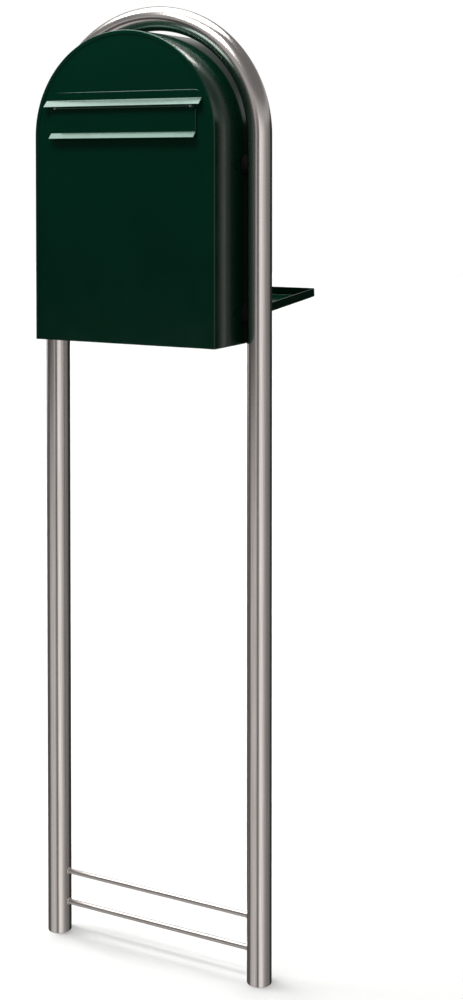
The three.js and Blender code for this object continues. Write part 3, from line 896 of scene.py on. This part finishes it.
lock_front = 12.3 * mm
barrel_back = lock_front - 24 * mm
plug_radius = 6.5 * mm
flange_radius = 11.5 * mm
flange_back = lock_front - 3 * mm
rings = [
    (barrel_back, plug_radius + play),
    (barrel_back, lock_radius),
    (flange_back, lock_radius),
    (flange_back, flange_radius),
    (flange_back + mm, flange_radius),
    (lock_front - 0.5 * mm, flange_radius - 1.2 * mm),
    (lock_front, flange_radius - 2.2 * mm),
    (lock_front, plug_radius + play),
    (barrel_back, plug_radius + play),
]
barrel = turned("lock_barrel", rings, lock_centre, BACK, 64)
break_edges(barrel, 0.15 * mm, 2, 25)
barrel.data.transform(swing_open)
fit(barrel, chrome, "chrome", "door", "lock_body")

nut_front = 7.5 * mm
nut_back = nut_front - 4 * mm
nut_bevel = 0.4 * mm
nut_radius = 13 * mm
nut_flat_radius = 12.4 * mm
rings = [
    (nut_back, lock_radius + play),
    (nut_back, nut_flat_radius),
    (nut_back + nut_bevel, nut_radius),
    (nut_front - nut_bevel, nut_radius),
    (nut_front, nut_flat_radius),
    (nut_front, lock_radius + play),
    (nut_back, lock_radius + play),
]
nut = turned("lock_ring_nut", rings, lock_centre, BACK, 6)
nut.data.transform(swing_open)
fit(nut, zinc, "zinc", "door", "lock_nut")

cam_face = barrel_back - play
cam_back = cam_face - 2 * mm
plug_neck = 3.4 * mm
plug_bore = 1.8 * mm
plug_front = lock_front - 0.4 * mm
plug_bevel = 0.3 * mm
rings = [
    (cam_back, plug_bore),
    (cam_back, plug_neck),
    (cam_face, plug_neck),
    (cam_face + play, plug_radius),
    (lock_front - 0.6 * mm, plug_radius),
    (plug_front, plug_radius - plug_bevel),
    (plug_front, plug_bore),
    (lock_front - 6 * mm, plug_bore),
    (cam_back, plug_bore),
]
plug = turned("key_plug", rings, lock_centre, BACK)
keyway_half = 0.8 * mm
keyway_reach = 4.5 * mm
keyway_depth = 4 * mm
keyway = block(
    "keyway_cutter",
    (-keyway_half, lock_front - keyway_depth, lock_z - keyway_reach),
    (keyway_half, lock_front + past, lock_z + keyway_reach),
)
bpy.ops.object.mode_set(mode="OBJECT")
cut(plug, keyway)
plug.data.transform(swing_open)
fit(plug, chrome, "chrome", "lock", "lock_plug")

cam_half = 7 * mm
cam_length = 33 * mm
cam_reach = cam_length - cam_half
cam = block(
    "catch_cam",
    (-cam_half, cam_back, lock_z - cam_half),
    (cam_reach + cam_half, cam_face, lock_z + cam_half),
)
select(cam, "edges", runs_along("y"))
round_selected(cam_half * 0.97, 10)
cam_rings = rod_rings(cam_back - past, cam_face + past, plug_neck + play)
cut(cam, turned("plug_cutter", cam_rings, lock_centre, BACK))
break_edges(cam, 0.2 * mm)
cam.data.transform(swing_open)
fit(cam, zinc, "zinc", "lock", "lock_cam")

screw_face = cam_back - play
screw_top = screw_face - 2 * mm
shank_radius = 1.5 * mm
rings = [
    (screw_face + 9 * mm, 1.2 * mm),
    (screw_face + 8.6 * mm, shank_radius),
    (screw_face, shank_radius),
    (screw_face, 4.5 * mm),
    (screw_face - 1.2 * mm, 4.3 * mm),
    (screw_face - 1.8 * mm, 3.2 * mm),
    (screw_top, 1.4 * mm),
]
screw = turned("round_head_screw", rings, lock_centre, BACK, 40)
groove_reach = 2.4 * mm
groove_half = 0.45 * mm
groove_depth = 0.9 * mm
for turn in (0, 90):
    groove = block(
        "groove_cutter",
        (-groove_reach, -3 * mm, -groove_half),
        (groove_reach, groove_depth, groove_half),
    )
    bpy.ops.object.mode_set(mode="OBJECT")
    tilt = Matrix.Rotation(math.radians(turn), 4, "Y")
    groove.data.transform(Matrix.Translation((0, screw_top, lock_z)) @ tilt)
    cut(screw, groove)
screw.data.transform(swing_open)
fit(screw, zinc, "zinc", "lock", "cam_screw")

# Door hinge: a bent bracket behind each side strip carries the pivot pin and a stud that stops the
# lower edge of the door when it is open.
pin_hole = 2.6 * mm
rivet_radius = 2.3 * mm
stud_hole = 1.8 * mm
stud_radius = 2.5 * mm
tail_radius = 1.5 * mm
for side, sign in sides:
    node = f"door_bracket_{side}"
    low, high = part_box(node)
    near, far = sorted((abs(low.x), abs(high.x)))
    pin_inner, pin_outer, pin_centre, _ = on_side(f"door_pivot_{side}")
    stud_inner, stud_outer, stud_centre, _ = on_side(f"door_stop_{side}")
    cheek = block(f"hinge_angle_{side}", (near, low.y, low.z), (far, high.y, high.z))
    select(cheek, "faces", looks(UP, DOWN, RIGHT, FRONT))
    bpy.ops.mesh.delete(type="FACE")
    select(cheek, "edges", joins_two)
    round_selected(1.2 * mm, 4)
    thicken(cheek, (-1, 1, 0))
    for name, hole, centre in (
        ("pin_cutter", pin_hole, pin_centre),
        ("stud_cutter", stud_hole, stud_centre),
    ):
        cut(cheek, turned(name, rod_rings(near - past, near + 3 * mm, hole), centre, RIGHT))
    cheek.data.transform(Matrix.Scale(sign, 4, RIGHT))
    fit(cheek, zinc, "zinc", "stand_and_box", node)

    rivet_head = pin_outer - 2 * mm
    rings = [
        (pin_inner, rivet_radius - 0.5 * mm),
        (pin_inner + 0.5 * mm, rivet_radius),
        (rivet_head, rivet_radius),
        (rivet_head, 3.8 * mm),
        (pin_outer - 0.6 * mm, 3.6 * mm),
        (pin_outer, 2.4 * mm),
    ]
    rivet = turned(f"pivot_rivet_{side}", rings, pin_centre, (sign, 0, 0))
    fit(rivet, zinc, "zinc", "stand_and_box", f"door_pivot_{side}")

    stud_step = near - play
    rings = [
        (stud_inner, stud_radius - 0.4 * mm),
        (stud_inner + 0.4 * mm, stud_radius),
        (stud_step, stud_radius),
        (stud_step, tail_radius),
        (stud_outer, tail_radius),
    ]
    stud = turned(f"stop_stud_{side}", rings, stud_centre, (sign, 0, 0))
    fit(stud, zinc, "zinc", "stand_and_box", f"door_stop_{side}")
